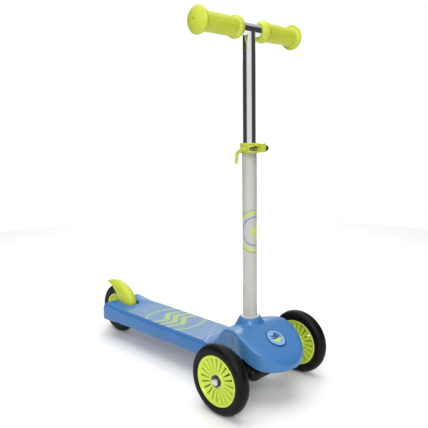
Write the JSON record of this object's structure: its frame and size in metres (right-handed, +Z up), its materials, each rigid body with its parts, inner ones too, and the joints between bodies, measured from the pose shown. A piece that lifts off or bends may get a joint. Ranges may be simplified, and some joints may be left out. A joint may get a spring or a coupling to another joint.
{
  "type": "kick scooter",
  "caption": "Small child's lean-to-steer kick scooter with two wheels in front, one behind, a foot brake and a T handlebar in a clamped telescopic stem.",
  "frame": {"origin": "middle of the footprint on the floor, which is at Z = 0", "axes": "-Y is the way it rides, +Z is up along the stem, +X is towards the rider's left hand side grip end"},
  "size_m": [0.257, 0.5629, 0.6575],
  "materials": {
    "deck_blue": "satin moulded",
    "hood_blue": "satin moulded",
    "grip_sheet_blue": "matt printed",
    "lime_grip": "soft matt",
    "lime_plastic": "satin moulded",
    "lime_rim": "satin moulded",
    "tyre_black": "smooth cast",
    "chrome": "bright plated",
    "tube_grey": "satin paint",
    "steel": "zinc plated",
    "black_plastic": "moulded",
    "ring_pale": "moulded",
    "cushion_rubber": "cast elastomer",
    "brass": "turned",
    "badge_print": "domed sticker"
  },
  "bodies": {
    "frame": {"deck": "deck_blue", "grip_sheet": "grip_sheet_blue", "head_bracket": "black_plastic", "bracket_screws": "steel", "head_cover": "hood_blue", "cover_screws": "steel", "badge": "badge_print", "stem_ring": "ring_pale", "outer_tube": "tube_grey", "stem_bolt": "steel", "stem_nut": "steel", "clamp_collar": "lime_plastic", "clamp_bolt": "steel", "clamp_nut": "black_plastic", "clamp_washer": "black_plastic", "lever_pin": "steel", "kingpin": "steel", "kingpin_nut": "steel", "kingpin_washers": "steel", "cushion_upper": "cushion_rubber", "cushion_lower": "cushion_rubber", "rear_axle": "steel", "rear_washers": "steel", "rear_caps": "deck_blue", "rear_cap_screws": "steel", "brake_pin": "steel", "brake_spring": "steel"},
    "handlebar": {"t_bar": "chrome", "tube_bush": "black_plastic", "grip_left": "lime_grip", "grip_right": "lime_grip"},
    "lever": {"clamp_lever": "lime_plastic"},
    "truck": {"truck": "black_plastic", "axle_inserts": "brass", "axle_bolt_left": "steel", "axle_bolt_right": "steel", "washers_left": "steel", "washers_right": "steel"},
    "brake": {"brake_fender": "lime_plastic"},
    "wheel_left": {"tyre_left": "tyre_black", "rim_left": "lime_rim", "bearings_left": "steel", "spacer_left": "steel"},
    "wheel_right": {"tyre_right": "tyre_black", "rim_right": "lime_rim", "bearings_right": "steel", "spacer_right": "steel"},
    "wheel_rear": {"tyre_rear": "tyre_black", "rim_rear": "lime_rim", "bearings_rear": "steel", "spacer_rear": "steel"}
  },
  "joints": [
    {"name": "handlebar_height", "type": "slide", "parent": "frame", "child": "handlebar", "axis": [0, 0, 1], "range_m": [-0.11, 0]},
    {"name": "clamp_lever_swing", "type": "hinge", "parent": "frame", "child": "lever", "pos_m": [-0.021, -0.1995, 0.435], "axis": [0, 0, 1], "range_deg": [0, 120]},
    {"name": "truck_lean", "type": "hinge", "parent": "frame", "child": "truck", "pos_m": [0, -0.2095, 0.06], "axis": [0, -0.7071, 0.7071], "range_deg": [-10, 10], "stiffness_Nm_per_rad": 40},
    {"name": "wheel_left_spin", "type": "hinge", "parent": "truck", "child": "wheel_left", "pos_m": [0.1095, -0.2095, 0.06], "axis": [1, 0, 0], "continuous": true},
    {"name": "wheel_right_spin", "type": "hinge", "parent": "truck", "child": "wheel_right", "pos_m": [-0.1095, -0.2095, 0.06], "axis": [1, 0, 0], "continuous": true},
    {"name": "wheel_rear_spin", "type": "hinge", "parent": "frame", "child": "wheel_rear", "pos_m": [0, 0.2265, 0.055], "axis": [1, 0, 0], "continuous": true},
    {"name": "brake_press", "type": "hinge", "parent": "frame", "child": "brake", "pos_m": [0, 0.1645, 0.069], "axis": [-1, 0, 0], "range_deg": [0, 4], "stiffness_Nm_per_rad": 1.5, "springref_deg": -8.59}
  ]
}
